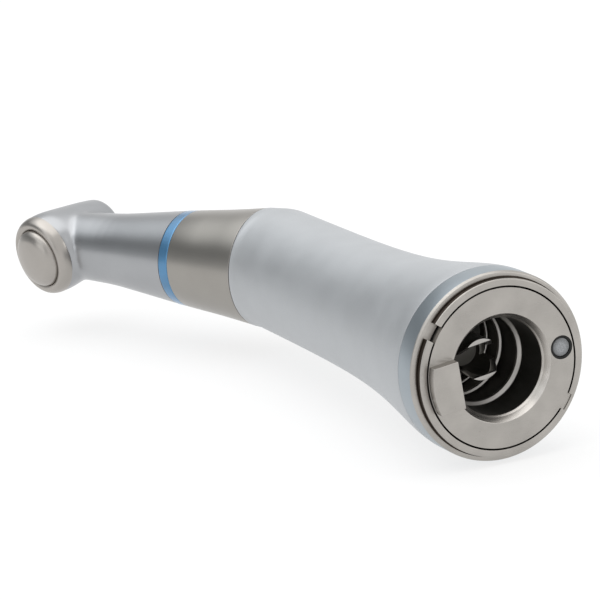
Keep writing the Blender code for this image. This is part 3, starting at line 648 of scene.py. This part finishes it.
SPRAY_LIFT = math.radians(23.4)
OUTLETS = {
    "lamp": (bur_side(26.6, 3.9), (NECK_DIR * 0.45 - NECK_SIDE).normalized()),
    "jet": (bur_side(26.6, 3.75, SPRAY_LIFT), (NECK_DIR * 0.45 - NECK_SIDE - UP * 0.45).normalized()),
}


def outlet_frame(name):
    """The frame of an outlet, whose Z points the way it sends its light or water."""
    place, aim = OUTLETS[name]
    across = UP.cross(aim).normalized()
    turn = Matrix((across, aim.cross(across), aim)).transposed().to_4x4()
    return Matrix.Translation(place) @ turn


def blend_junction(made):
    """Melts the neck into the head's barrel with a soft hollow, and leaves the rest as it is."""
    group = made.vertex_groups.new(name="junction")
    to_neck = NECK.inverted()
    to_head = HEAD.inverted()
    for vertex in made.data.vertices:
        at_neck = to_neck @ (made.matrix_world @ vertex.co) / MM
        at_head = to_head @ (made.matrix_world @ vertex.co) / MM
        off_neck = abs(math.hypot(at_neck.x, at_neck.y) - NECK_AT_BARREL)
        off_head = abs(math.hypot(at_head.x, at_head.y) - BARREL_AT_NECK)
        nearness = 1 - math.hypot(off_neck, off_head) / BLEND_REACH
        if nearness > 0 and at_neck.z > BLEND_START:
            group.add([vertex.index], nearness * nearness * (3 - 2 * nearness), "REPLACE")
    blend = made.modifiers.new("blend", "SMOOTH")
    blend.factor = 0.5
    blend.iterations = 80
    blend.vertex_group = "junction"
    apply_all(made, 60.0)


def neck_and_head():
    """The neck and the head's barrel in one skin, with a small fillet where they meet."""
    neck_stop = HEAD_AT - 1.0
    neck = [(4.7, 5.3), (4.7, 13.2), (5.74, 13.2), (4.31, 24.8, 2.0), (4.06, neck_stop), (0, neck_stop),
            (0, 5.3)]
    made = turned("neck_shell", NECK, neck, "satin", FINE)
    barrel = [(0, -5.8), (3.0, -5.8, 0.2), (3.5, -5.6, 0.2), (3.82, -5.1, 0.4), (4.2, -3.2, 0.8),
              (4.52, -0.9, 1.0), (4.8, 1.1, 1.0), (4.95, 2.6, 0.8), (4.87, 3.88), (0, 3.88)]
    cut(made, turned("barrel", HEAD, barrel, "satin", FINE), "UNION")
    bore = [(0, 4.0), (3.85, 4.0), (3.85, 24.0), (3.6, 25.5), (3.4, 26.5), (3.4, 31.2), (0, 31.2)]
    cut(made, turned("bore", NECK, bore, "satin", SMALL, 0.0))
    chamber = [(0, -7.0), (2.3, -7.0), (2.3, -5.5), (3.2, -5.5), (3.2, -4.3), (3.7, -4.2), (3.7, 6.0),
               (0, 6.0)]
    cut(made, turned("chamber", HEAD, chamber, "satin", SMALL, 0.0))
    for name, radius in (("lamp", 0.58), ("jet", 0.48)):
        hole = [(0, -2.2), (radius, -2.2), (radius, 2.2), (0, 2.2)]
        cut(made, turned("hole", outlet_frame(name), hole, "satin", 32, 0.0))
    remesh = made.modifiers.new("even", "REMESH")
    remesh.mode = "VOXEL"
    remesh.voxel_size = VOXEL * MM
    remesh.adaptivity = 0.0
    relax = made.modifiers.new("relax", "SMOOTH")
    relax.factor = 0.5
    relax.iterations = 5
    apply_all(made, 60.0)
    blend_junction(made)
    trim = [(4.8, 12.0), (7.0, 12.0), (7.0, NECK_START), (4.8, NECK_START)]
    cut(made, turned("trim", NECK, trim, "satin", FINE, 0.0))
    stands_for(made, "handpiece", "head_metal", "neck_head_housing")


def cap_and_button():
    """The threaded cap, and the domed button whose rim nearly fills it."""
    cap = [(3.2, 2.6), (3.6, 2.6), (3.6, 3.8), (4.89, 3.8, 0.02), (4.86, 4.1, 0.2), (4.72, 4.65, 0.5),
           (4.4, 5.08, 0.4), (4.0, 5.22, 0.3), (3.62, 5.05, 0.06), (3.61, 4.25), (3.42, 4.1), (3.42, 3.6),
           (3.2, 3.6)]
    made = turned("cap_shell", HEAD, cap, ("warm", "dark"), FINE, 0.03)
    # The cap's inner wall under the button is painted dark steel as shade in the gap round the button.
    paint(made, lambda radius, height, normal: radius < 3.68 and height < 4.8, 1)
    stands_for(made, "handpiece", "head_metal", "head_cap")
    button = [(0, 6.42), (1.5, 6.34, 0.6), (2.6, 6.1, 0.6), (3.15, 5.78, 0.45), (3.48, 5.4, 0.3),
              (3.58, 5.04, 0.05), (3.58, 4.9, 0.02), (2.4, 4.9), (2.4, 5.5), (0.9, 5.5), (0.9, 4.15),
              (0, 4.15)]
    dome = turned("button_dome", HEAD, button, "warm", FINE)
    stands_for(dome, "push_button", "button_metal", "push_button")
    spring = coil("button_coil", HEAD, 1.5, 0.12, 4.0, 5.55, 2, "steel")
    stands_for(spring, "handpiece", "steel", "button_spring")
    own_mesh(spring)


def spindle_and_outlets():
    """What shows on the bur side: the spindle's mouth with its collet, the lamp and the spray jet."""
    tube = [(1.45, -5.65, 0.08), (1.7, -5.65, 0.06), (1.7, 3.7), (1.05, 3.7), (1.05, 2.3), (1.45, 2.3)]
    stands_for(turned("spindle_tube", HEAD, tube, "steel", SMALL), "spindle", "steel", "spindle")
    grip = [(1.19, -5.5, 0.1), (1.38, -5.5), (1.38, 2.2), (1.19, 2.2)]
    collet = turned("collet", HEAD, grip, "dark", SMALL, 0.03)
    cut(collet, block("collet_slit", HEAD, (4, 0.4, 5.0), (0, 0, 1.5)))
    stands_for(collet, "spindle", "dark_steel", "bur_chuck")
    rod = [(0, 0.35), (0.42, 0.38), (0.5, 0.45), (0.5, 1.45), (0, 1.45)]
    lamp = turned("lamp_glass", outlet_frame("lamp"), rod, "glass", TINY, 0.1)
    stands_for(lamp, "handpiece", "light_glass", "front_light_window")
    nozzle = [(0.18, 0.45), (0.4, 0.45), (0.4, 1.5), (0.18, 1.5)]
    jet = turned("jet", outlet_frame("jet"), nozzle, "steel", TINY, 0.04)
    stands_for(jet, "handpiece", "steel", "spray_nozzle")


def inner_nodes():
    """Gives every CAD node that is still shown a finish of its own."""
    by_slot = {"bearing_steel": "race", "gear_steel": "gear", "dark_steel": "dark", "light_glass": "glass",
               "nut_brass": "brass", "cage_polymer": "cage", "seal_rubber": "rubber", "steel": "steel"}
    slots = {row["node"]: row["material_slot"] for row in frame["record"]["subparts"]}
    for name, node in frame["nodes"].items():
        if node.hide_render:
            continue
        node.data.materials.clear()
        node.data.materials.append(LOOKS[by_slot.get(slots[name], "steel")])


# ---------------------------------------------------------------- studio

CAMERA_AT = Vector((-318.19, 166.48, 102.99))
CAMERA_AZIMUTH = math.radians(155.589)
CAMERA_ELEVATION = math.radians(14.716)
CAMERA_ROLL = math.radians(-4.366)


def pale_floor():
    """A matt floor that glows a little, so that its shadows stay faint."""
    shape = bmesh.new()
    bmesh.ops.create_grid(shape, x_segments=1, y_segments=1, size=4.0)
    made, nodes, links, shader = node_material("pale_floor")
    coords = nodes.new("ShaderNodeTexCoord").outputs["Object"]
    soft = noise_at(nodes, links, coords, 8.0)
    links.new(tinted(nodes, links, soft, (0.22, 0.22, 0.22), (0.24, 0.24, 0.24)), shader.inputs["Base Color"])
    shader.inputs["Roughness"].default_value = 0.9
    shader.inputs["Specular IOR Level"].default_value = 0.0
    shader.inputs["Emission Color"].default_value = (1, 1, 1, 1)
    shader.inputs["Emission Strength"].default_value = 0.74
    LOOKS["floor"] = made
    floor = mesh_object("studio_floor", shape, Matrix.Translation((0, 0, -0.0002)), "floor")
    for face in floor.data.polygons:
        if face.normal.z < 0:
            floor.data.flip_normals()
            break


def soft_light(name, place, target, size, power):
    """A white rectangular light, turned to its target."""
    data = bpy.data.lights.new(name, "AREA")
    data.shape = "RECTANGLE"
    data.size = size[0]
    data.size_y = size[1]
    data.energy = power
    made = bpy.data.objects.new(name, data)
    bpy.context.scene.collection.objects.link(made)
    made.location = place
    made.rotation_euler = (Vector(target) - Vector(place)).to_track_quat("-Z", "Y").to_euler()


def studio_world():
    """A bright room, with a dark band at half height on the side that the neck and the sheath mirror."""
    world = bpy.data.worlds.new("studio")
    world.use_nodes = True
    nodes = world.node_tree.nodes
    links = world.node_tree.links
    coords = nodes.new("ShaderNodeTexCoord").outputs["Generated"]
    split = nodes.new("ShaderNodeSeparateXYZ")
    links.new(coords, split.inputs["Vector"])
    facing = nodes.new("ShaderNodeVectorMath")
    facing.operation = "DOT_PRODUCT"
    facing.inputs[1].default_value = (0.5, 0.87, 0.0)
    links.new(coords, facing.inputs[0])
    side = remap(nodes, links, facing.outputs["Value"], 0, 1, 0.15, 0.5)
    ramp = nodes.new("ShaderNodeValToRGB")
    stops = ramp.color_ramp.elements
    stops[0].position = 0.0
    stops[0].color = (0.60, 0.61, 0.62, 1)
    stops[1].position = 1.0
    stops[1].color = (1.6, 1.6, 1.6, 1)
    for position, level in ((0.14, 0.46), (0.32, 0.28), (0.48, 0.32), (0.63, 1.2)):
        stop = stops.new(position)
        stop.color = (level * 0.97, level, level * 1.02, 1)
    links.new(split.outputs["Z"], ramp.inputs["Fac"])
    room = tinted(nodes, links, side, (1.0, 1.0, 1.0), ramp.outputs["Color"])
    links.new(room, nodes["Background"].inputs["Color"])
    nodes["Background"].inputs["Strength"].default_value = 1.0
    bpy.context.scene.world = world


def camera():
    """The camera that looks at the motor end from behind, a little from above and tilted a little."""
    data = bpy.data.cameras.new("view")
    data.lens = 216.0
    data.sensor_width = 36.0
    data.clip_start = 0.01
    made = bpy.data.objects.new("view", data)
    bpy.context.scene.collection.objects.link(made)
    heading = Matrix.Rotation(math.radians(90.0) + CAMERA_AZIMUTH, 4, "Z")
    pitch = Matrix.Rotation(math.radians(90.0) - CAMERA_ELEVATION, 4, "X")
    roll = Matrix.Rotation(CAMERA_ROLL, 4, "Z")
    made.matrix_world = Matrix.Translation(MOTOR_FACE + CAMERA_AT * MM) @ heading @ pitch @ roll
    bpy.context.scene.camera = made


grip_sheath()
end_band()
lock_ring()
coupling()
rear_window()
drive_fork()
sleeve_and_ring()
neck_and_head()
cap_and_button()
spindle_and_outlets()
inner_nodes()
pale_floor()
studio_world()
soft_light("ceiling", (0.1, 0.05, 0.7), (0, 0, 0), (0.9, 0.9), 2.6)
soft_light("left_wall", (-0.15, 0.75, 0.35), (0, 0, 0), (0.5, 0.4), 0.5)
soft_light("right_wall", (-0.45, -0.6, 0.3), (0, 0, 0), (0.5, 0.4), 0.8)
soft_light("left_card", (-0.1, 0.7, 0.12), (0, 0, 0.01), (0.5, 0.16), 0.2)
camera()
bpy.context.scene.view_settings.view_transform = "Standard"
